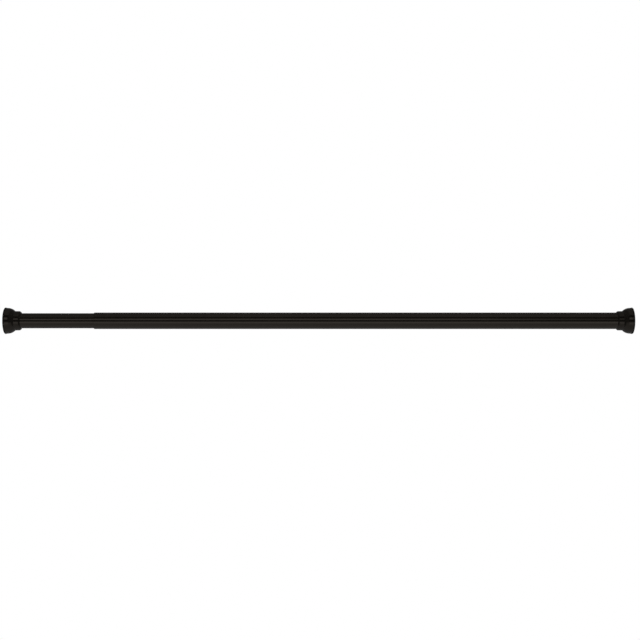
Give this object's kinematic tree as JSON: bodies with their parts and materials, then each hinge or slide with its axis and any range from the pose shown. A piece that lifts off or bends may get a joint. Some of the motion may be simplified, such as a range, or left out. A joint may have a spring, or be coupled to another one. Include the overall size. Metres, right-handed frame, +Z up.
{
  "type": "shower curtain rod",
  "caption": "Black telescoping tension rod for a shower curtain: a thin tube slides in a thick tube, with bell-shaped end caps, rubber wall pads and a hidden twist lock and spring.",
  "frame": {"origin": "centre of the thick tube's wall face, on the rod's axis", "axes": "+X along the rod, out of the thick tube's wall face into the wall; +Z up; +Y away from the viewer"},
  "size_m": [0.965, 0.0406, 0.0406],
  "materials": {
    "rod_paint": "satin black powder paint with a fine orange peel",
    "cap_plastic": "satin black moulded plastic",
    "pad_rubber": "matte black rubber",
    "nylon": "natural moulded nylon",
    "ring_rubber": "matte black rubber",
    "spring_steel": "oiled spring steel",
    "zinc_steel": "bright zinc plate"
  },
  "bodies": {
    "outer": {"outer_tube": "rod_paint", "outer_end_cap": "cap_plastic", "outer_wall_pad": "pad_rubber"},
    "sleeve": {"lock_sleeve": "nylon", "drag_ring": "ring_rubber", "thrust_washer": "zinc_steel"},
    "cone": {"cone_nut": "nylon"},
    "spindle": {"lock_spindle": "zinc_steel", "stop_nut": "zinc_steel", "stop_washer": "zinc_steel", "stop_clip": "spring_steel"},
    "inner": {"inner_tube": "rod_paint", "inner_end_cap": "cap_plastic", "inner_wall_pad": "pad_rubber", "tube_end_bush": "nylon", "tension_spring": "spring_steel"}
  },
  "joints": [
    {"name": "telescope", "type": "slide", "parent": "outer", "child": "sleeve", "axis": [-1, 0, 0], "range_m": [-0.085, 0.5]},
    {"name": "twist", "type": "hinge", "parent": "sleeve", "child": "spindle", "pos_m": [-0.13, 0, 0], "axis": [1, 0, 0], "range_deg": [0, 300]},
    {"name": "cone_draw", "type": "slide", "parent": "sleeve", "child": "cone", "axis": [1, 0, 0], "range_m": [0, 0.0025]},
    {"name": "spring_travel", "type": "slide", "parent": "spindle", "child": "inner", "axis": [1, 0, 0], "range_m": [0, 0.025], "stiffness_N_per_m": 4500, "springref_m": -0.008, "deforming": ["tension_spring"]}
  ],
  "couplings": [
    {"joint": "cone_draw", "follows": "twist", "m_per_rad": 0.000477}
  ]
}
